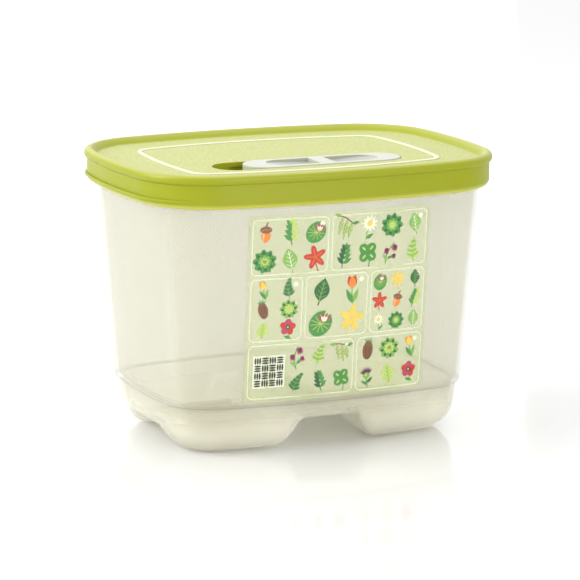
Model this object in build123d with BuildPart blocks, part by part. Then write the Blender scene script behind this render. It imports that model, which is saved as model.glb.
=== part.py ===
from build123d import *
import os
from math import atan2, radians, tan

# Produce keeper: a translucent tub on four moulded feet, a soft lid and a vent slider.
# Millimetres. The origin is on the table under the middle of the tub, X runs along the
# length, the printed front wall faces -Y, and Z is up. Insets are measured inwards from
# the lid's rim bead, which is the widest part.

# The whole keeper, seen from above at the rim bead
lid_length = 184.0
lid_width = 139.2
long_side_radius = 400.0
short_side_radius = 265.0
corner_radius = 38.0
overall_height = 134.6

# Lid: rim bead, skirt, hem and pull lip
bead_overhang = 1.3
bead_height = 4.6
bead_top_radius = 2.3
bead_under_radius = 1.9
lid_height = 16.0
skirt_wall = 1.5
hem_radius = 3.2
hem_wall = 1.3
lip_thickness = 1.2
lip_reach = 1.1
lip_fade = 1.0

# Lid: crest, pan, raised line and plug wall
crest_width = 3.2
crest_radius = 1.2
pan_depth = 3.1
pan_slope_run = 3.4
pan_foot_radius = 1.5
pan_wall = 1.7
ridge_length = 130.0
ridge_width = 91.6
ridge_long_radius = 280.0
ridge_short_radius = 240.0
ridge_corner_radius = 10.0
ridge_line = 2.0
ridge_height = 0.5
ridge_edge_radius = 0.3
plug_wall = 1.5
plug_reach = 6.6

# Lid: slide recess and its vent holes
recess_length = 95.2
recess_width = 23.2
recess_depth = 3.7
recess_wall = 2.4
recess_floor = 1.5
recess_from_middle = 23.0
undercut_width = 0.9
undercut_height = 1.5
undercut_length = 70.0
vent_hole_radius = 2.2
vent_hole_spacing = 7.4
vent_hole_count = 2
vent_hole_from_end = 4.6

# Vent slider
slider_length = 79.5
slider_proud = 0.5
slider_clearance = 0.3
slider_edge_radius = 0.6
rail_height = 0.9
rail_length = 52.0
scoop_width = 16.0
scoop_length = 24.0
scoop_depth = 1.7
scoop_end_depth = 0.4
scoop_edge_radius = 0.25
bridge_width = 8.0

# Tub: walls, rim and step
tub_wall = 1.9
wall_draft = 4.7
rim_inset = 5.15
rim_edge_radius = 0.7
lid_clearance = 0.35
lid_seat_gap = 0.3
step_height = 23.6
step_in = 1.6
step_radius = 1.0
foot_draft = 9.0
base_radius = 15.0

# Tub: the two channels that cross under it and leave four feet
channel_foot_half = 26.0
channel_foot_run = 12.0
channel_foot_fall = 0.5
channel_foot_radius = 8.0
channel_knee_half = 20.5
channel_knee_height = 4.4
channel_knee_radius = 8.0
channel_lean = 31.0
channel_top_radius = 4.5
cross_channel_height = 14.9
long_channel_height = 8.9
arch_edge_radius = 5.0

# Tub: low ribs on the humps inside, which hold food off the floor
rib_width = 1.4
rib_height = 1.2
rib_edge_radius = 0.4
rib_spacing = 7.5
rib_count = 3
rib_end_gap = 3.0

# Printed chart film on the front wall
chart_width = 92.0
chart_height = 89.0
chart_middle_height = 70.1
chart_corner_radius = 3.0
chart_thickness = 0.2

# Heights and insets that follow from the sizes above
lid_bottom = overall_height - lid_height
hem_top = lid_bottom + hem_radius
pan_height = overall_height - pan_depth
roof_height = pan_height - pan_wall
rim_height = roof_height - lid_seat_gap
recess_floor_height = pan_height - recess_depth
skirt_inside = bead_overhang + skirt_wall
hem_inside = rim_inset - lid_clearance
plug_outside = rim_inset + tub_wall + plug_reach * tan(radians(wall_draft)) + lid_clearance
step_inset = rim_inset + (rim_height - step_height) * tan(radians(wall_draft))
base_inset = step_inset + step_in + step_height * tan(radians(foot_draft))
rib_wall_inset = base_inset + tub_wall + arch_edge_radius + rib_end_gap
slider_x = (recess_length - slider_length) / 2 - slider_clearance


# A closed outline of four shallow arcs with rounded corners, drawn in by the inset
def bulged_outline(height, length, width, long_radius, short_radius, corner, inset):
    with BuildSketch(Plane.XY.offset(height)) as outline:
        with Locations((0, width / 2 - long_radius)):
            Circle(long_radius - inset)
        with Locations((0, long_radius - width / 2)):
            Circle(long_radius - inset, mode=Mode.INTERSECT)
        with Locations(Location((length / 2 - short_radius, 0), 90)):
            Circle(short_radius - inset, mode=Mode.INTERSECT)
        with Locations(Location((short_radius - length / 2, 0), 90)):
            Circle(short_radius - inset, mode=Mode.INTERSECT)
        fillet(outline.vertices(), corner - inset)
    return outline.sketch.face()


# The keeper's own outline at a height
def keeper_outline(height, inset):
    return bulged_outline(height, lid_length, lid_width, long_side_radius,
                          short_side_radius, corner_radius, inset)


# The raised line's outline on the pan
def ridge_outline(inset):
    return bulged_outline(pan_height, ridge_length, ridge_width, ridge_long_radius,
                          ridge_short_radius, ridge_corner_radius, inset)


# A leaning stretch of wall as a solid block between two heights
def leaning_block(low_height, low_inset, high_height, high_inset):
    with BuildPart() as block:
        loft([keeper_outline(low_height, low_inset),
              keeper_outline(high_height, high_inset)], ruled=True)
    return block.part


# The section of a channel under the tub, grown by the wall where it is the hump inside
def channel_section(plane, height, growth):
    outer_half = channel_foot_half + channel_foot_run
    top_half = channel_knee_half - (height - channel_knee_height) * tan(radians(channel_lean))
    with BuildSketch(plane) as section:
        with BuildLine():
            Polyline((-outer_half, -base_radius), (-outer_half, -channel_foot_fall),
                     (-channel_foot_half, 0), (-channel_knee_half, channel_knee_height),
                     (-top_half, height), (top_half, height),
                     (channel_knee_half, channel_knee_height), (channel_foot_half, 0),
                     (outer_half, -channel_foot_fall), (outer_half, -base_radius), close=True)
        make_face()
        fillet(section.vertices().group_by(Axis.Y)[-1], channel_top_radius)
        fillet(section.vertices().group_by(Axis.Y)[3], channel_knee_radius)
        fillet(section.vertices().group_by(Axis.Y)[2], channel_foot_radius)
        if growth:
            offset(amount=growth)
    return section.sketch.face()


# The tub as a solid block, or the food space inside it when drawn in by the wall
def tub_block(wall):
    with BuildPart() as block:
        add(leaning_block(step_height + wall, step_inset + wall, rim_height, rim_inset + wall))
        if not wall:
            fillet(block.faces().sort_by(Axis.Z)[0].edges(), step_radius)
        add(leaning_block(wall, base_inset + wall, step_height + wall, step_inset + step_in + wall))
        fillet(block.faces().sort_by(Axis.Z)[0].edges(), base_radius - wall)
        extrude(channel_section(Plane.XZ, cross_channel_height, wall), amount=lid_width,
                both=True, mode=Mode.SUBTRACT)
        arches = block.edges(Select.LAST).group_by(Axis.Z)[-1].sort_by(Axis.Y)
        fillet([arches[0], arches[-1]], arch_edge_radius)
        extrude(channel_section(Plane.YZ, long_channel_height, wall), amount=lid_length,
                both=True, mode=Mode.SUBTRACT)
        arches = block.edges(Select.LAST).group_by(Axis.Z)[-1].sort_by(Axis.X)
        fillet([arches[0], arches[-1]], arch_edge_radius)
    return block.part


# Ribs on the tops of the two humps, sunk a little into them
cross_rib_length = lid_width - 2 * rib_wall_inset
long_rib_start = channel_knee_half + tub_wall + rib_end_gap
long_rib_length = lid_length / 2 - rib_wall_inset - long_rib_start
rib_box_height = rib_height + tub_wall / 2
with BuildPart() as floor_ribs:
    with Locations((0, 0, cross_channel_height + tub_wall / 2)):
        with GridLocations(rib_spacing, 0, rib_count, 1):
            Box(rib_width, cross_rib_length, rib_box_height,
                align=(Align.CENTER, Align.CENTER, Align.MIN))
    for side in (-1, 1):
        middle = side * (long_rib_start + long_rib_length / 2)
        with Locations((middle, 0, long_channel_height + tub_wall / 2)):
            with GridLocations(0, rib_spacing, 1, rib_count):
                Box(long_rib_length, rib_width, rib_box_height,
                    align=(Align.CENTER, Align.CENTER, Align.MIN))
    fillet(floor_ribs.edges().filter_by(Axis.Z), rib_edge_radius)

# Tub: outer block less the food space, with a rounded rim
with BuildPart() as tub:
    add(tub_block(0))
    add(tub_block(tub_wall), mode=Mode.SUBTRACT)
    fillet(tub.faces().sort_by(Axis.Z)[-1].edges(), rim_edge_radius)
    add(floor_ribs.part)

# Printed chart: a thin film that lies on the leaning front wall
with BuildPart() as printed_chart:
    with BuildSketch(Plane.XZ):
        with Locations((0, chart_middle_height)):
            RectangleRounded(chart_width, chart_height, chart_corner_radius)
    extrude(amount=lid_width)
    add(leaning_block(step_height, step_inset - chart_thickness, rim_height,
                      rim_inset - chart_thickness), mode=Mode.INTERSECT)
    add(leaning_block(step_height, step_inset, rim_height, rim_inset), mode=Mode.SUBTRACT)

# The space inside the skirt, closed in below by the curved hem
with BuildPart() as skirt_space:
    extrude(keeper_outline(lid_bottom + hem_wall, skirt_inside),
            amount=roof_height - lid_bottom - hem_wall)
    fillet(skirt_space.faces().sort_by(Axis.Z)[0].edges(), hem_radius - hem_wall)

# The raised line round the pan
with BuildPart() as ridge:
    extrude(ridge_outline(-ridge_line / 2), amount=ridge_height)
    extrude(ridge_outline(ridge_line / 2), amount=ridge_height, mode=Mode.SUBTRACT)
    fillet(ridge.faces().sort_by(Axis.Z)[-1].edges(), ridge_edge_radius)

# Lid
with BuildPart() as lid:
    # Rim bead, skirt and hem as one solid block
    extrude(keeper_outline(overall_height - bead_height, 0), amount=bead_height)
    fillet(lid.faces().sort_by(Axis.Z)[-1].edges(), bead_top_radius)
    fillet(lid.faces().sort_by(Axis.Z)[0].edges(), bead_under_radius)
    extrude(keeper_outline(lid_bottom, bead_overhang), amount=lid_height - bead_height / 2)
    fillet(lid.faces().sort_by(Axis.Z)[0].edges(), hem_radius)
    # Hollow it out and open the hem so that it passes the tub's rim
    add(skirt_space.part, mode=Mode.SUBTRACT)
    extrude(keeper_outline(lid_bottom - hem_wall, hem_inside), amount=hem_wall + hem_radius,
            mode=Mode.SUBTRACT)
    # Sunken pan with a sloping side
    add(leaning_block(pan_height, crest_width + pan_slope_run, overall_height, crest_width),
        mode=Mode.SUBTRACT)
    fillet(lid.edges(Select.LAST).group_by(Axis.Z)[0], pan_foot_radius)
    fillet(lid.faces().sort_by(Axis.Z)[-1].inner_wires().edges(), crest_radius)
    # Plug wall that stands just inside the tub's rim
    extrude(keeper_outline(roof_height - plug_reach, plug_outside), amount=plug_reach)
    extrude(keeper_outline(roof_height - plug_reach, plug_outside + plug_wall),
            amount=plug_reach, mode=Mode.SUBTRACT)
    add(ridge.part)
    # Slide recess: an obround cup under the pan, undercut for the slider's rails
    with BuildSketch(Plane.XY.offset(recess_floor_height - recess_floor)):
        with Locations((0, -recess_from_middle)):
            SlotOverall(recess_length + 2 * recess_wall, recess_width + 2 * recess_wall)
    extrude(amount=recess_depth + recess_floor - pan_wall / 2)
    with BuildSketch(Plane.XY.offset(recess_floor_height)):
        with Locations((0, -recess_from_middle)):
            SlotOverall(recess_length, recess_width)
    extrude(amount=recess_depth, mode=Mode.SUBTRACT)
    with BuildSketch(Plane.XY.offset(recess_floor_height)):
        with Locations((0, -recess_from_middle)):
            Rectangle(undercut_length, recess_width + 2 * undercut_width)
    extrude(amount=undercut_height, mode=Mode.SUBTRACT)
    # Vent holes through the recess floor
    with BuildSketch(Plane.XY.offset(recess_floor_height)):
        for hole in range(vent_hole_count):
            hole_x = recess_length / 2 - vent_hole_from_end - hole * vent_hole_spacing
            with Locations((hole_x, -recess_from_middle)):
                Circle(vent_hole_radius)
    extrude(amount=-recess_floor, mode=Mode.SUBTRACT)
    # Thin pull lip that swells out of the skirt's foot at the -X end
    with BuildSketch(Plane.XY.offset(hem_top)):
        with Locations((-lip_reach - lip_fade, 0)):
            add(keeper_outline(0, bead_overhang + lip_fade))
        add(keeper_outline(0, bead_overhang + skirt_wall / 2), mode=Mode.SUBTRACT)
    extrude(amount=lip_thickness)

# Vent slider, shown at the closed end of its recess
slider_bottom = recess_floor_height + slider_clearance
slider_top = pan_height + slider_proud
rail_width = recess_width + 2 * undercut_width - 2 * slider_clearance
with BuildPart() as vent_slider:
    with BuildSketch(Plane.XY.offset(slider_bottom)):
        with Locations((slider_x, -recess_from_middle)):
            SlotOverall(slider_length, recess_width - 2 * slider_clearance)
    extrude(amount=slider_top - slider_bottom)
    fillet(vent_slider.faces().sort_by(Axis.Z)[-1].edges(), slider_edge_radius)
    # Finger scoops that ramp down to the bridge from both ends
    ramp = atan2(scoop_depth - scoop_end_depth, scoop_length)
    for side in (-1, 1):
        start = (slider_x + side * bridge_width / 2, -recess_from_middle, slider_top - scoop_depth)
        along = Vector(side, 0, tan(ramp))
        with BuildSketch(Plane(start, x_dir=along, z_dir=along.cross(Vector(0, side, 0)))):
            Rectangle(scoop_length - scoop_width / 2, scoop_width, align=(Align.MIN, Align.CENTER))
            with Locations((scoop_length - scoop_width / 2, 0)):
                Circle(scoop_width / 2)
        extrude(amount=slider_top - slider_bottom, mode=Mode.SUBTRACT)
        fillet(vent_slider.edges(Select.LAST).group_by(Axis.Z)[-1], scoop_edge_radius)
    # Rails that hold the slider down under the recess's undercut
    with Locations((slider_x, -recess_from_middle, slider_bottom)):
        Box(rail_length, rail_width, rail_height, align=(Align.CENTER, Align.CENTER, Align.MIN))

os.makedirs("parts", exist_ok=True)
tub.part.label = "tub"
export_step(tub.part, "parts/tub.step")
printed_chart.part.label = "printed_chart"
export_step(printed_chart.part, "parts/printed_chart.step")
lid.part.label = "lid"
export_step(lid.part, "parts/lid.step")
vent_slider.part.label = "vent_slider"
export_step(vent_slider.part, "parts/vent_slider.step")
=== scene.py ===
import bpy
import random
from math import cos, pi, radians, sin, tau
from mathutils import Matrix, Vector
from mathutils.bvhtree import BVHTree


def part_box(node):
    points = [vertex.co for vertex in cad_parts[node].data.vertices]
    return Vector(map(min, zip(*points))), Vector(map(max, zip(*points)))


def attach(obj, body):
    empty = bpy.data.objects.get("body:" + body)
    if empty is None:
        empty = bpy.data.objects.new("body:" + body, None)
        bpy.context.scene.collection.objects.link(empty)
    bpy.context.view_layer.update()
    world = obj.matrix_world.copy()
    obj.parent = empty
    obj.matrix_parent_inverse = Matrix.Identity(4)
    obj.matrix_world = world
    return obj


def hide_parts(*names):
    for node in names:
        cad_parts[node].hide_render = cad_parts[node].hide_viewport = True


# Looks for the produce keeper. Metres in Blender; the drawing of the chart is in millimetres.
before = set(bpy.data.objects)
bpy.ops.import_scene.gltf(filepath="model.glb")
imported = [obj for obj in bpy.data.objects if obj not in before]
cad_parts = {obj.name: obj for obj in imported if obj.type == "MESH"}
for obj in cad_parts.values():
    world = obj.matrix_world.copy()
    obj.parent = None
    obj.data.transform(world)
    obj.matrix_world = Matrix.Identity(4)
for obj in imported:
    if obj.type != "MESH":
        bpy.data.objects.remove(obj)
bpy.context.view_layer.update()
mm = 0.001


# A node's output that takes Python arithmetic, one Math node for each operation
class Value:
    def __init__(self, shader, socket):
        self.shader = shader
        self.socket = socket

    def math(self, operation, first, second):
        return self.shader.node('ShaderNodeMath', {'operation': operation}, {0: first, 1: second})

    def __add__(self, other):
        return self.math('ADD', self, other)

    def __radd__(self, other):
        return self.math('ADD', other, self)

    def __sub__(self, other):
        return self.math('SUBTRACT', self, other)

    def __rsub__(self, other):
        return self.math('SUBTRACT', other, self)

    def __mul__(self, other):
        return self.math('MULTIPLY', self, other)

    def __rmul__(self, other):
        return self.math('MULTIPLY', other, self)

    def __gt__(self, other):
        return self.math('GREATER_THAN', self, other)

    def __lt__(self, other):
        return self.math('LESS_THAN', self, other)

    def __abs__(self):
        return self.math('ABSOLUTE', self, 0.0)


# A material built round one Principled shader
class Shader:
    def __init__(self, name, surface):
        self.material = bpy.data.materials.new(name)
        self.material.use_nodes = True
        self.tree = self.material.node_tree
        self.surface = self.tree.nodes['Principled BSDF']
        self.set(**surface)

    def put(self, socket, value):
        if isinstance(value, Value):
            self.tree.links.new(value.socket, socket)
        else:
            socket.default_value = value

    def set(self, **sockets):
        for name, value in sockets.items():
            self.put(self.surface.inputs[name.replace('_', ' ')], value)

    # Any node: its type, its settings, then the values or links of its sockets
    def node(self, kind, settings, sockets, output=0):
        made = self.tree.nodes.new(kind)
        for name, value in settings.items():
            setattr(made, name, value)
        for name, value in sockets.items():
            self.put(made.inputs[name], value)
        return Value(self, made.outputs[output])

    def place(self):
        return self.node('ShaderNodeTexCoord', {}, {}, output='Object')

    def part(self, vector, axis):
        return self.node('ShaderNodeSeparateXYZ', {}, {0: vector}, output=axis)

    def noise(self, scale, detail=2.0):
        return self.node('ShaderNodeTexNoise', {}, {'Vector': self.place(), 'Scale': scale, 'Detail': detail})

    # 0 below low, 1 above high, smooth between them
    def step(self, value, low, high):
        settings = {'interpolation_type': 'SMOOTHSTEP'}
        return self.node('ShaderNodeMapRange', settings, {0: value, 1: low, 2: high})

    def mix(self, factor, first, second):
        return self.node('ShaderNodeMix', {'data_type': 'RGBA'}, {0: factor, 6: first, 7: second}, output=2)

    def bump(self, height, distance, strength=1.0):
        sockets = {'Height': height, 'Distance': distance, 'Strength': strength}
        self.set(Normal=self.node('ShaderNodeBump', {}, sockets))


def rgb(red, green, blue):
    return (red, green, blue, 1.0)


def dress(node, shader):
    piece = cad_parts[node]
    piece.data.materials.clear()
    piece.data.materials.append(shader.material)


# Camera, at the angle and distance that the photograph was taken from
cameraPlace = {'azimuth': -24.01, 'elevation': 11.65, 'roll': 0.25, 'distance': 1.4587,
               'lens': 188.4, 'sensor': 36.0, 'shift': (0.0042, 0.0159), 'target': (0.0003, 0.0, 0.0612)}


def makeCamera(place):
    turn = radians(place['azimuth'])
    rise = radians(place['elevation'])
    back = Vector((sin(turn) * cos(rise), -cos(turn) * cos(rise), sin(rise)))
    data = bpy.data.cameras.new('camera')
    data.lens = place['lens']
    data.sensor_width = place['sensor']
    data.shift_x, data.shift_y = place['shift']
    data.clip_end = 50.0
    camera = bpy.data.objects.new('camera', data)
    bpy.context.scene.collection.objects.link(camera)
    camera.rotation_mode = 'QUATERNION'
    facing = (-back).to_track_quat('-Z', 'Y').to_matrix()
    camera.rotation_quaternion = (facing @ Matrix.Rotation(radians(place['roll']), 3, 'Z')).to_quaternion()
    camera.location = Vector(place['target']) + back * place['distance']
    bpy.context.scene.camera = camera
    print('camera at', [round(x, 3) for x in camera.location])


makeCamera(cameraPlace)

# Studio: a pale glossy table, two softboxes, a fill in front and a glow from behind
studio = {'tableSize': 12.0, 'tableColour': rgb(0.78, 0.78, 0.775), 'tableRoughness': 0.09, 'tableIOR': 1.65,
          'world': rgb(1.0, 1.0, 1.0), 'worldStrength': 0.97,
          'lights': [('softboxLeft', (-1.3, 0.3, 0.85), 1.0, 19.0), ('softboxAbove', (0.25, 0.5, 1.45), 1.2, 7.0),
                     ('fillFront', (0.3, -1.9, 0.4), 1.0, 12.0), ('glowBehind', (0.3, 1.9, 0.3), 1.6, 4.0)],
          'aim': (0.0, 0.0, 0.07)}


def makeStudio(room):
    half = room['tableSize'] / 2
    mesh = bpy.data.meshes.new('table')
    corners = [(-half, -half, 0), (half, -half, 0), (half, half, 0), (-half, half, 0)]
    mesh.from_pydata(corners, [], [(0, 1, 2, 3)])
    table = bpy.data.objects.new('table', mesh)
    bpy.context.scene.collection.objects.link(table)
    shader = Shader('tableTop', {'Base Color': room['tableColour'], 'Roughness': room['tableRoughness'],
                                 'IOR': room['tableIOR']})
    mesh.materials.append(shader.material)
    world = bpy.data.worlds.new('studio')
    world.use_nodes = True
    world.node_tree.nodes['Background'].inputs[0].default_value = room['world']
    world.node_tree.nodes['Background'].inputs[1].default_value = room['worldStrength']
    bpy.context.scene.world = world
    for name, place, size, power in room['lights']:
        data = bpy.data.lights.new(name, 'AREA')
        data.size = size
        data.energy = power
        light = bpy.data.objects.new(name, data)
        bpy.context.scene.collection.objects.link(light)
        light.location = place
        light.visible_camera = False
        aim = Vector(room['aim']) - Vector(place)
        light.rotation_euler = aim.to_track_quat('-Z', 'Y').to_euler()
    bpy.context.scene.view_settings.view_transform = 'Standard'
    print('studio with', len(room['lights']), 'lights')


makeStudio(studio)

# Tub: milky polypropylene that lets the light through and blurs what is behind it; the feet carry painted light and
# the step a painted shade line
tubLook = {'colour': rgb(0.68, 0.665, 0.49), 'cloudColour': rgb(0.63, 0.615, 0.44), 'foot': rgb(0.97, 0.94, 0.80),
           'alpha': 0.35, 'cloud': 0.06, 'transmission': 0.4, 'IOR': 1.49,
           'roughness': 0.12, 'roughnessCloud': 0.06, 'cloudScale': 18.0, 'cloudDetail': 3.0,
           'footAlpha': 0.2, 'footLow': 0.008, 'footTop': 0.027,
           'waveScale': 45.0, 'wave': 0.00003, 'waveStrength': 0.25,
           'line': rgb(0.42, 0.40, 0.33), 'lineLow': 0.0229, 'lineHigh': 0.0241, 'lineAlpha': 0.3}


def dressTub(look):
    shader = Shader('milkyTub', {'IOR': look['IOR'], 'Transmission Weight': look['transmission']})
    cloud = shader.noise(look['cloudScale'], look['cloudDetail'])
    height = shader.part(shader.place(), 'Z')
    # Feet: a paler base colour painted on as light coming through them, and more opacity for a milkier look
    low = 1.0 - shader.step(height, look['footLow'], look['footTop'])
    # Painted shade: a thin dark, more opaque band along the step where the wall turns in
    line = (height > look['lineLow']) * (1.0 - (height > look['lineHigh']))  # where the step turns
    milky = shader.mix(low, shader.mix(cloud, look['colour'], look['cloudColour']), look['foot'])
    shader.set(Base_Color=shader.mix(line, milky, look['line']),
               Roughness=look['roughness'] + cloud * look['roughnessCloud'],
               Alpha=look['alpha'] + cloud * look['cloud'] + low * look['footAlpha'] + line * look['lineAlpha'])
    shader.bump(shader.noise(look['waveScale']), look['wave'], look['waveStrength'])
    dress('tub', shader)


dressTub(tubLook)
print('tub dressed')

# Lid: soft lime polyethylene, satin on the sides, with the pan painted paler as a painted sheen with pale glint
# flecks; painted highlights on the ridge and crest, painted light on the hem
lidLook = {'lime': rgb(0.275, 0.315, 0.003), 'limeLight': rgb(0.325, 0.345, 0.004), 'limeScale': 14.0,
           'pan': rgb(0.375, 0.40, 0.11), 'fleck': rgb(0.61, 0.63, 0.37), 'fleckLow': 0.45, 'fleckHigh': 0.70,
           'fleckShare': 0.7, 'ridge': rgb(0.70, 0.71, 0.53), 'hem': rgb(0.57, 0.57, 0.09),
           'crest': rgb(0.37, 0.39, 0.07), 'crestLow': 0.0022, 'crestHigh': 0.0006, 'crestTilt': (0.35, 0.9),
           'roughness': 0.38, 'panRoughness': 0.55, 'panLow': 0.0036, 'panHigh': 0.0024, 'panTilt': (0.90, 0.985),
           'ridgeLow': 0.00305, 'ridgeHalfLength': 0.07, 'ridgeHalfWidth': 0.052, 'hemLow': 0.0004, 'hemHigh': 0.003,
           'grainScale': 1500.0, 'grain': 0.00012, 'grainStrength': 0.6, 'grainOnSides': 0.2, 'grainOnPan': 0.8}


def dressLid(look):
    shader = Shader('limeLid', {'IOR': 1.5, 'Specular IOR Level': 0.36, 'Subsurface Weight': 0.15,
                                'Subsurface Scale': 0.004})
    bottom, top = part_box('lid')[0].z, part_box('lid')[1].z
    place = shader.place()
    height = shader.part(place, 'Z')
    facing = shader.part(shader.node('ShaderNodeNewGeometry', {}, {}, output='Normal'), 'Z')
    flat = shader.step(facing, *look['panTilt'])
    pan = flat * (height > top - look['panLow']) * (1.0 - (height > top - look['panHigh']))
    inside = (look['ridgeHalfLength'] > abs(shader.part(place, 'X'))) * \
             (look['ridgeHalfWidth'] > abs(shader.part(place, 'Y')))
    # Painted highlight: a pale colour on the lid's top inside the ridge's rectangle, above a set height
    ridge = inside * (height > top - look['ridgeLow'])
    # Painted sheen and glints: the pan gets a pale colour with paler flecks, standing in for light reflected off its
    # textured top
    fleck = shader.step(shader.noise(look['grainScale'], 2.0), look['fleckLow'], look['fleckHigh'])
    frosted = shader.mix(fleck * look['fleckShare'], look['pan'], look['fleck'])
    # Painted light: a paler lime near the skirt's bottom, as light thrown up from the table
    hem = 1.0 - shader.step(height, bottom + look['hemLow'], bottom + look['hemHigh'])
    # Painted highlight: a paler tone on the upward-facing top of the rim
    crest = shader.step(height, top - look['crestLow'], top - look['crestHigh']) * \
        shader.step(facing, *look['crestTilt'])
    lime = shader.mix(shader.noise(look['limeScale']), look['lime'], look['limeLight'])
    sides = shader.mix(hem, shader.mix(crest, lime, look['crest']), look['hem'])
    shader.set(Base_Color=shader.mix(ridge, shader.mix(pan, sides, frosted), look['ridge']),
               Roughness=look['roughness'] + pan * (look['panRoughness'] - look['roughness']))
    depth = shader.noise(look['grainScale']) * (look['grainOnSides'] + look['grainOnPan'] * pan)
    shader.bump(depth, look['grain'], look['grainStrength'])
    dress('lid', shader)


dressLid(lidLook)
print('lid dressed')

# Slider: smooth white moulding, with painted shade in its scoops
sliderLook = {'white': rgb(0.455, 0.46, 0.375), 'warm': rgb(0.42, 0.425, 0.345), 'toneScale': 30.0,
              'scoop': rgb(0.28, 0.30, 0.24), 'scoopLow': 0.0007, 'scoopHigh': 0.0003, 'scoopTilt': (0.8, 0.95),
              'roughness': 0.28, 'smear': 0.08, 'smearScale': 60.0,
              'grainScale': 900.0, 'grain': 0.00003, 'grainStrength': 0.4}


def dressSlider(look):
    shader = Shader('whiteSlider', {'IOR': 1.5})
    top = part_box('vent_slider')[1].z
    height = shader.part(shader.place(), 'Z')
    facing = shader.part(shader.node('ShaderNodeNewGeometry', {}, {}, output='Normal'), 'Z')
    # Painted shade: upward-facing surfaces sunk below the slider's top are coloured grey
    below = 1.0 - shader.step(height, top - look['scoopLow'], top - look['scoopHigh'])
    depth = below * shader.step(facing, *look['scoopTilt'])
    white = shader.mix(shader.noise(look['toneScale']), look['white'], look['warm'])
    shader.set(Base_Color=shader.mix(depth, white, look['scoop']),
               Roughness=look['roughness'] + shader.noise(look['smearScale']) * look['smear'])
    shader.bump(shader.noise(look['grainScale']), look['grain'], look['grainStrength'])
    dress('vent_slider', shader)


dressSlider(sliderLook)
print('slider dressed')

# Printing inks, each a thin coat with a slightly uneven tone
inkColours = {'pine': rgb(0.025, 0.14, 0.04), 'leaf': rgb(0.08, 0.30, 0.06), 'grass': rgb(0.24, 0.48, 0.09),
              'lime': rgb(0.56, 0.70, 0.18), 'pale': rgb(0.86, 0.90, 0.66), 'red': rgb(0.60, 0.05, 0.03),
              'rose': rgb(0.52, 0.06, 0.12), 'orange': rgb(0.86, 0.27, 0.04), 'yellow': rgb(0.90, 0.66, 0.10),
              'plum': rgb(0.13, 0.03, 0.10), 'brown': rgb(0.26, 0.10, 0.04), 'sand': rgb(0.80, 0.60, 0.34),
              'dark': rgb(0.05, 0.055, 0.05)}
inkLook = {'roughness': 0.34, 'darkening': 0.82, 'toneScale': 260.0, 'toneDetail': 3.0}


def makeInk(name, colour, look):
    shader = Shader('ink_' + name, {'IOR': 1.5, 'Roughness': look['roughness']})
    darker = rgb(*[c * look['darkening'] for c in colour[:3]])
    tone = shader.noise(look['toneScale'], look['toneDetail'])
    shader.set(Base_Color=shader.mix(tone, darker, colour))
    return shader.material


inks = {name: makeInk(name, colour, inkLook) for name, colour in inkColours.items()}


# Outlines in millimetres round a motif's middle, x to the right and z up
def turned(points, x, z, turn):
    c, s = cos(radians(turn)), sin(radians(turn))
    return [(x + a * c - b * s, z + a * s + b * c) for a, b in points]


def oval(x, z, halfWidth, halfHeight, turn=0, count=20):
    ring = [tau * i / count for i in range(count)]
    return turned([(halfWidth * cos(a), halfHeight * sin(a)) for a in ring], x, z, turn)


# A pointed leaf that grows upwards from its base, widest at the share given
def blade(x, z, length, width, turn=0, widest=0.45, count=9):
    ends = [i / count for i in range(count + 1)]
    power = 0.7 / widest * 0.5
    right = [(width / 2 * sin(pi * t ** power), length * t) for t in ends]
    left = [(-a, b) for a, b in right[-2:0:-1]]
    return turned(right + left, x, z, turn)


def lobed(x, z, radius, lobes, depth, turn=0, count=60):
    ring = [tau * i / count for i in range(count)]
    reach = [radius * (1 - depth / 2 + depth / 2 * cos(lobes * a)) for a in ring]
    return turned([(r * cos(a), r * sin(a)) for a, r in zip(ring, reach)], x, z, turn)


# A stroke along a bowed line between two points
def stroke(x0, z0, x1, z1, width, bow=0.0, count=8):
    line = Vector((x1 - x0, z1 - z0))
    side = Vector((-line.y, line.x)).normalized()
    spine = [Vector((x0, z0)) + line * (i / count) + side * bow * sin(pi * i / count) for i in range(count + 1)]
    return [tuple(p + side * width / 2) for p in spine] + [tuple(p - side * width / 2) for p in reversed(spine)]


# Motifs: each gives (ink, layer, outline) about 11 mm tall
def sprig(dark, light):
    shapes = [(dark, 0, stroke(0, -5.5, 0.4, 4.4, 0.45, 0.5))]
    for i in range(4):
        z = -3.4 + 2.1 * i
        for side in (-1, 1):
            shapes.append((light if side > 0 else dark, 1, blade(0.3, z, 4.6 - 0.4 * i, 1.9, -side * (52 - 5 * i))))
    return shapes + [(light, 1, blade(0.4, 3.4, 3.0, 1.7))]


def fern(dark, light):
    shapes = [(dark, 0, stroke(-1.2, -5.5, 1.2, 5.4, 0.4, 0.9))]
    for i in range(9):
        t = i / 8
        for side in (-1, 1):
            shapes.append((dark if i % 2 else light, 1, blade(-1.2 + 2.4 * t - 0.7 * sin(pi * t), -3.8 + 8.8 * t,
                                                               4.3 - 3.2 * t, 1.15, -side * 62 - 8)))
    return shapes


def broadLeaf(body, vein):
    shapes = [(body, 0, blade(0, -4.2, 9.6, 6.6, 0, 0.40)), (body, 0, stroke(0, -6, 0, -3.6, 0.5)),
              (vein, 1, stroke(0, -4.4, 0, 4.2, 0.35))]
    for i in range(4):
        for side in (-1, 1):
            shapes.append((vein, 1, stroke(0, -2.8 + 1.7 * i, side * (2.2 - 0.35 * i), -1.4 + 1.7 * i, 0.22)))
    return shapes


def mapleLeaf(body, vein):
    shapes = [(body, 0, lobed(0, 0.6, 5.4, 5, 0.55, 90)), (body, 1, stroke(0.2, -6, 0, 0, 0.5, 0.3))]
    return shapes + [(vein, 2, stroke(0, 0.6, 3.7 * cos(radians(a)), 0.6 + 3.7 * sin(radians(a)), 0.25))
                     for a in range(18, 378, 72)]


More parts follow.
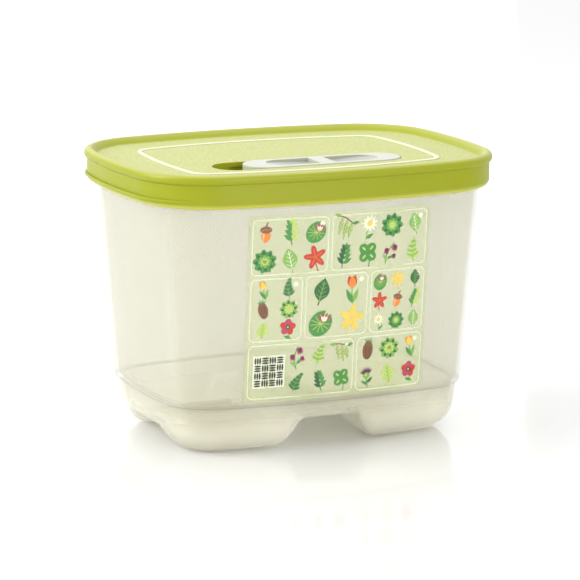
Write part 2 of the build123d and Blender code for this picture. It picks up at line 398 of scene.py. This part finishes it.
def daisy(petal, heart):
    shapes = [('grass', 0, stroke(0, -5.8, 0, 0, 0.5, 0.4)), ('leaf', 0, blade(0, -5.2, 4.0, 1.6, -48))]
    shapes += [(petal, 1 + i % 2, blade(0, 1.6, 4.1, 1.7, i * 32.7, 0.6)) for i in range(11)]
    return shapes + [(heart, 3, oval(0, 1.6, 1.3, 1.3)), ('sand', 4, oval(-0.3, 1.9, 0.5, 0.4))]


def tulip(petal, shade):
    return [('grass', 0, stroke(0, -6, 0, 0.5, 0.6, 0.3)), ('leaf', 1, blade(0, -5.8, 6.6, 2.0, 24)),
            ('grass', 1, blade(0, -5.6, 6.0, 1.9, -26)), (shade, 1, blade(0, 0.4, 5.2, 2.8, 15, 0.4)),
            (shade, 2, blade(0, 0.4, 5.2, 2.8, -15, 0.4)), (petal, 3, blade(0, 0.1, 5.0, 3.0, 0, 0.4))]


def bellflower(petal, shade):
    shapes = [('leaf', 0, stroke(-2.2, -5.8, 1.0, 4.8, 0.5, 1.2))]
    for x, z, size in ((1.6, 2.6, 1.0), (-2.6, 0.4, 0.9), (1.9, -2.0, 0.75)):
        for lean in (-22, 0, 22):
            shapes.append((shade if lean else petal, 2 if lean else 3,
                           blade(x, z + 1.4, 3.6 * size, 1.9 * size, 180 + lean, 0.7)))
    return shapes + [('grass', 1, blade(-1.6, -4.0, 3.8, 1.5, 48)), ('leaf', 1, blade(-1.4, -3.4, 3.6, 1.4, -56))]


def rosette(outer, inner):
    shapes = [(outer, 0, lobed(0, 0, 5.6, 9, 0.22, 10))]
    rings = (('pine', 5.3, 2.9), (outer, 4.5, 2.5), (inner, 3.3, 2.0), ('lime', 2.0, 1.3))
    for ring, (ink, reach, width) in enumerate(rings):
        shapes += [(ink, 1 + ring, blade(0, 0, reach, width, i * 45 + ring * 22.5, 0.62)) for i in range(8)]
    return shapes


def acorn(shell, cap):
    shapes = [(shell, 0, blade(0.2, 2.0, 6.6, 4.9, 180, 0.35)), ('sand', 1, blade(-0.9, 0.8, 4.0, 0.9, 176, 0.4)),
              (cap, 2, oval(0.2, 1.9, 3.0, 1.7)), (cap, 2, stroke(0.2, 3.2, 1.0, 5.6, 0.6, 0.3))]
    return shapes + [('sand', 3, oval(-1.6 + 1.2 * i, 1.7 + 0.5 * (i % 2), 0.28, 0.22, count=8)) for i in range(4)]


def thistle(bloom, cup):
    shapes = [('leaf', 0, stroke(0, -6, 0, 0, 0.5, 0.2)), ('leaf', 1, blade(0, -4.6, 4.4, 1.5, 52)),
              ('pine', 1, blade(0, -3.6, 4.2, 1.5, -54))]
    shapes += [(bloom, 1 + i % 2, blade(0, 0.6, 4.6, 0.9, -56 + i * 14, 0.6)) for i in range(9)]
    return shapes + [(cup, 3, oval(0, 0.4, 1.9, 1.7)), ('lime', 4, oval(-0.4, 0.8, 0.7, 0.6, count=10))]


def clover(body, vein):
    shapes = [(body, 0, stroke(0.5, -6, 0, 0, 0.5, -0.5))]
    for i in range(4):
        a = radians(45 + 90 * i)
        shapes += [(body, 1, oval(2.6 * cos(a), 0.9 + 2.6 * sin(a), 2.5, 2.3, 45 + 90 * i)),
                   (vein, 2, oval(2.7 * cos(a), 0.9 + 2.7 * sin(a), 1.2, 0.45, 45 + 90 * i, 12))]
    return shapes


def pineCone(scale, edge):
    shapes = [(edge, 0, oval(0, -0.2, 2.9, 4.9))]
    for row in range(6):
        width = 2.5 * sin(pi * (row + 1.2) / 7.6)
        for i in range(3):
            shapes.append((scale, 1 + row % 2, oval((i - 1) * width * 0.85, -3.9 + 1.5 * row, 0.95, 0.75, count=12)))
    return shapes + [('leaf', 0, blade(0, 3.8, 3.6, 0.7, a)) for a in (-60, -25, 15, 50)]


def poppy(petal, heart):
    shapes = [('grass', 0, stroke(0.6, -6, 0, 0, 0.5, 0.5)), ('leaf', 1, blade(0.4, -5.0, 4.0, 1.6, 58))]
    for i in range(5):
        x, z = 2.2 * cos(tau * i / 5), 1.4 + 2.2 * sin(tau * i / 5)
        shapes.append((petal if i % 2 else 'red', 1 + i % 2, oval(x, z, 2.3, 1.9, 72 * i)))
    return shapes + [(heart, 3, oval(0, 1.4, 1.2, 1.2)), ('lime', 4, oval(0, 1.4, 0.55, 0.55, count=10))]


def lilyPad(body, vein):
    notch = [(0.4, 0)] + [(5.0 * cos(radians(a)), 4.2 * sin(radians(a))) for a in range(14, 348, 9)]
    shapes = [(body, 0, turned(notch, 0, -0.6, 60))]
    shapes += [(vein, 1, stroke(0, -0.6, 3.9 * cos(radians(a)), -0.6 + 3.3 * sin(radians(a)), 0.2))
               for a in range(95, 395, 33)]
    shapes += [('rose', 2, blade(1.2, 0.2, 3.4, 1.4, a, 0.5)) for a in (-52, -18, 16, 50)]
    return shapes + [('pale', 3, blade(1.2, 0.2, 2.4, 1.1, a, 0.5)) for a in (-32, 0, 32)]


def catkin(body, edge):
    shapes = [('brown', 0, stroke(-3.4, 5.4, 3.6, 2.6, 0.55, 0.5))]
    for x, z, length in ((-2.3, 4.8, 8.2), (0.2, 4.1, 9.2), (2.5, 3.0, 6.8)):
        shapes.append((edge, 1, blade(x, z, length, 1.9, 180, 0.45)))
        shapes += [(body, 2, oval(x + (0.35 if i % 2 else -0.35), z - 1.3 - i * 1.0, 0.45, 0.36, count=8))
                   for i in range(int(length - 2))]
    return shapes + [('grass', 2, blade(-3.2, 5.2, 3.0, 1.5, 78)), ('leaf', 2, blade(3.3, 2.8, 3.2, 1.5, -70))]


# Chart: panels with a thin pale outline, and a grid of motifs in each, round the film's middle
chartPlan = {'outline': 0.45, 'corner': 2.4, 'coat': 0.07, 'layer': 0.025, 'lift': 0.02, 'seed': 5,
             'panels': [(-44.0, -7.0, 16.5, 42.5, 3, 2), (-5.0, 44.0, 16.5, 42.5, 4, 2),
                        (-44.0, -19.0, -15.0, 14.5, 2, 3), (-17.0, 14.0, -15.0, 14.5, 2, 2),
                        (16.0, 44.0, -15.0, 14.5, 3, 3), (-44.0, 8.0, -42.5, -17.0, 3, 2),
                        (10.0, 44.0, -42.5, -17.0, 3, 2)],
             'weavePanel': 5, 'weaveSize': 14.5, 'weaveBars': 4, 'weaveRoom': 18.5, 'weaveInset': 0.8,
             'motifHeight': 11.9, 'sizes': (0.92, 1.06), 'lean': 16, 'dot': 1.2, 'dotIn': (3.2, 3.0)}
motifs = [(rosette, 'leaf', 'grass'), (tulip, 'orange', 'red'), (fern, 'leaf', 'pine'),
          (broadLeaf, 'grass', 'pale'), (daisy, 'yellow', 'orange'), (sprig, 'pine', 'leaf'),
          (mapleLeaf, 'red', 'orange'), (thistle, 'plum', 'grass'), (clover, 'leaf', 'lime'),
          (acorn, 'orange', 'brown'), (broadLeaf, 'lime', 'grass'), (bellflower, 'plum', 'rose'),
          (sprig, 'leaf', 'lime'), (poppy, 'rose', 'dark'), (fern, 'grass', 'lime'), (lilyPad, 'leaf', 'lime'),
          (pineCone, 'brown', 'dark'), (catkin, 'sand', 'grass'), (mapleLeaf, 'yellow', 'sand'),
          (rosette, 'grass', 'lime'), (daisy, 'pale', 'yellow'), (broadLeaf, 'pine', 'grass'),
          (tulip, 'yellow', 'orange')]


class Printer:
    def __init__(self, plan):
        self.plan = plan
        self.film = BVHTree.FromObject(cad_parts['printed_chart'], bpy.context.evaluated_depsgraph_get())
        low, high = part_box('printed_chart')
        self.middle = (low.z + high.z) / 2
        self.halfWidth, self.halfHeight = (high.x - low.x) / 2 / mm, (high.z - low.z) / 2 / mm

    # The film's outer face at a place on the chart
    def onFilm(self, x, z, proud):
        hit = self.film.ray_cast(Vector((x * mm, -1.0, z * mm + self.middle)), Vector((0, 1, 0)))
        return hit[0] + hit[1] * proud * mm

    # Each outline becomes a thin closed coat that follows the film
    def press(self, name, shapes):
        points, faces, faceInks = [], [], []
        names = sorted({ink for ink, layer, outline in shapes})
        for ink, layer, outline in shapes:
            first, count = len(points), len(outline)
            proud = self.plan['coat'] + self.plan['layer'] * layer
            points += [self.onFilm(x, z, self.plan['lift']) for x, z in outline]
            points += [self.onFilm(x, z, proud) for x, z in outline]
            faces.append([first + i for i in reversed(range(count))])
            faces.append([first + count + i for i in range(count)])
            faces += [[first + i, first + (i + 1) % count, first + count + (i + 1) % count, first + count + i]
                      for i in range(count)]
            faceInks += [names.index(ink)] * (count + 2)
        mesh = bpy.data.meshes.new(name)
        mesh.from_pydata(points, [], faces)
        for ink in names:
            mesh.materials.append(inks[ink])
        mesh.polygons.foreach_set('material_index', faceInks)
        mesh.update()
        piece = bpy.data.objects.new(name, mesh)
        bpy.context.scene.collection.objects.link(piece)
        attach(piece, 'tub')
        return piece


def counterClockwise(outline):
    area = sum(a[0] * b[1] - b[0] * a[1] for a, b in zip(outline, outline[1:] + outline[:1]))
    return outline if area > 0 else outline[::-1]


# A thin frame with rounded corners, as four bowed corners and four straight strokes
def panelFrame(x0, x1, z0, z1, corner, width):
    shapes = []
    for x in (x0, x1):
        shapes.append(('pale', 0, stroke(x, z0 + corner, x, z1 - corner, width, count=4)))
    for z in (z0, z1):
        shapes.append(('pale', 0, stroke(x0 + corner, z, x1 - corner, z, width, count=6)))
    for x, z, start in ((x1 - corner, z1 - corner, 0), (x0 + corner, z1 - corner, 90),
                        (x0 + corner, z0 + corner, 180), (x1 - corner, z0 + corner, 270)):
        sweep = [radians(start + 15 * i) for i in range(7)]
        outer = [(x + (corner + width / 2) * cos(a), z + (corner + width / 2) * sin(a)) for a in sweep]
        inner = [(x + (corner - width / 2) * cos(a), z + (corner - width / 2) * sin(a)) for a in reversed(sweep)]
        shapes.append(('pale', 0, outer + inner))
    return shapes


# A small square of basket weave: pairs of short dark bars that turn from cell to cell
def weave(x, z, size, cells):
    cell = size / cells
    shapes = [('pale', 0, [(x - size / 2 - 0.5, z - size / 2 - 0.5), (x + size / 2 + 0.5, z - size / 2 - 0.5),
                           (x + size / 2 + 0.5, z + size / 2 + 0.5), (x - size / 2 - 0.5, z + size / 2 + 0.5)])]
    for i in range(cells):
        for j in range(cells):
            for k in (-1, 0, 1):
                bar = oval(0, 0, cell * 0.46, cell * 0.13, 90 * ((i + j) % 2), 12)
                shift = (0, k * cell * 0.31) if (i + j) % 2 == 0 else (k * cell * 0.31, 0)
                shapes.append(('dark', 1, [(a + x - size / 2 + (i + 0.5) * cell + shift[0],
                                            b + z - size / 2 + (j + 0.5) * cell + shift[1]) for a, b in bar]))
    return shapes


def printChart(plan):
    press = Printer(plan)
    draw = random.Random(plan['seed'])
    used = 0
    for number, (x0, x1, z0, z1, columns, rows) in enumerate(plan['panels']):
        shapes = panelFrame(x0, x1, z0, z1, plan['corner'], plan['outline'])
        across, up = plan['dotIn']
        shapes.append(('pale', 0, oval(x1 - across, z1 - up, plan['dot'], plan['dot'], count=16)))
        if number == plan['weavePanel']:
            across = x0 + plan['weaveRoom'] / 2 + plan['weaveInset']
            shapes += weave(across, (z0 + z1) / 2, plan['weaveSize'], plan['weaveBars'])
            x0 += plan['weaveRoom']
        width, height = (x1 - x0) / columns, (z1 - z0) / rows
        for cell in range(columns * rows):
            column, row = cell % columns, cell // columns
            middle = (x0 + width * (column + 0.5), z0 + height * (row + 0.5))
            size = min(width, height) / plan['motifHeight'] * draw.uniform(*plan['sizes'])
            lean = draw.uniform(-plan['lean'], plan['lean'])
            motif, first, second = motifs[(number * 5 + cell * 3) % len(motifs)]
            # The steps of 5 and 3 keep like motifs apart
            for ink, layer, outline in motif(first, second):
                scaled = [(a * size, b * size) for a, b in outline]
                shapes.append((ink, layer, turned(scaled, middle[0], middle[1], lean)))
            used += 1
        press.press('print_panel_' + str(number + 1), [(i, l, counterClockwise(o)) for i, l, o in shapes])
    print('chart printed with', used, 'motifs')


printChart(chartPlan)

# Chart film: a clear skin on the wall with a faint warm tint, just clear of the wall behind it
filmLook = {'colour': rgb(0.76, 0.81, 0.47), 'cloudColour': rgb(0.70, 0.76, 0.40), 'alpha': 0.24, 'roughness': 0.2,
            'cloud': 0.08, 'cloudScale': 22.0, 'corner': 3.0, 'columns': 24, 'rows': 20, 'back': -0.06, 'margin': 0.05}


def makeFilm(look):
    shader = Shader('chartFilm', {'IOR': 1.5})
    cloud = shader.noise(look['cloudScale'], 2.0)
    shader.set(Base_Color=shader.mix(cloud, look['colour'], look['cloudColour']), Roughness=look['roughness'],
               Alpha=look['alpha'] + cloud * look['cloud'])
    press = Printer(chartPlan)
    halfWidth = press.halfWidth - look['margin']
    top = press.halfHeight - look['margin']
    bottom = -top
    corner, columns, rows = look['corner'], look['columns'], look['rows']
    turns = [corner * (1 - cos(radians(18 * i))) for i in range(5)]
    heights = [bottom + t for t in turns]
    heights += [bottom + corner + (top - bottom - 2 * corner) * i / rows for i in range(rows + 1)]
    heights += [top - t for t in reversed(turns)]
    points = []
    for proud in (0.0, look['back']):
        for z in heights:
            into = max(0.0, corner - (z - bottom), corner - (top - z))
            half = halfWidth - corner + (corner ** 2 - into ** 2) ** 0.5
            points += [press.onFilm(half * (2 * i / columns - 1), z, proud) for i in range(columns + 1)]
    wide, tall = columns + 1, len(heights)
    back = wide * tall
    faces = []
    for j in range(tall - 1):
        for i in range(columns):
            a = j * wide + i
            faces.append([a, a + 1, a + 1 + wide, a + wide])
            faces.append([back + a + wide, back + a + 1 + wide, back + a + 1, back + a])
    rim = list(range(wide)) + [(j + 1) * wide - 1 for j in range(1, tall)]
    rim += [(tall - 1) * wide + i for i in reversed(range(columns))] + [j * wide for j in reversed(range(1, tall - 1))]
    faces += [[b, a, back + a, back + b] for a, b in zip(rim, rim[1:] + rim[:1])]
    mesh = bpy.data.meshes.new('chart_film')
    mesh.from_pydata(points, [], faces)
    mesh.materials.append(shader.material)
    for polygon in mesh.polygons:
        polygon.use_smooth = len(polygon.vertices) == 4
    piece = bpy.data.objects.new('chart_film', mesh)
    bpy.context.scene.collection.objects.link(piece)
    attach(piece, 'tub')
    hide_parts('printed_chart')
    print('film with', len(mesh.polygons), 'faces')


makeFilm(filmLook)
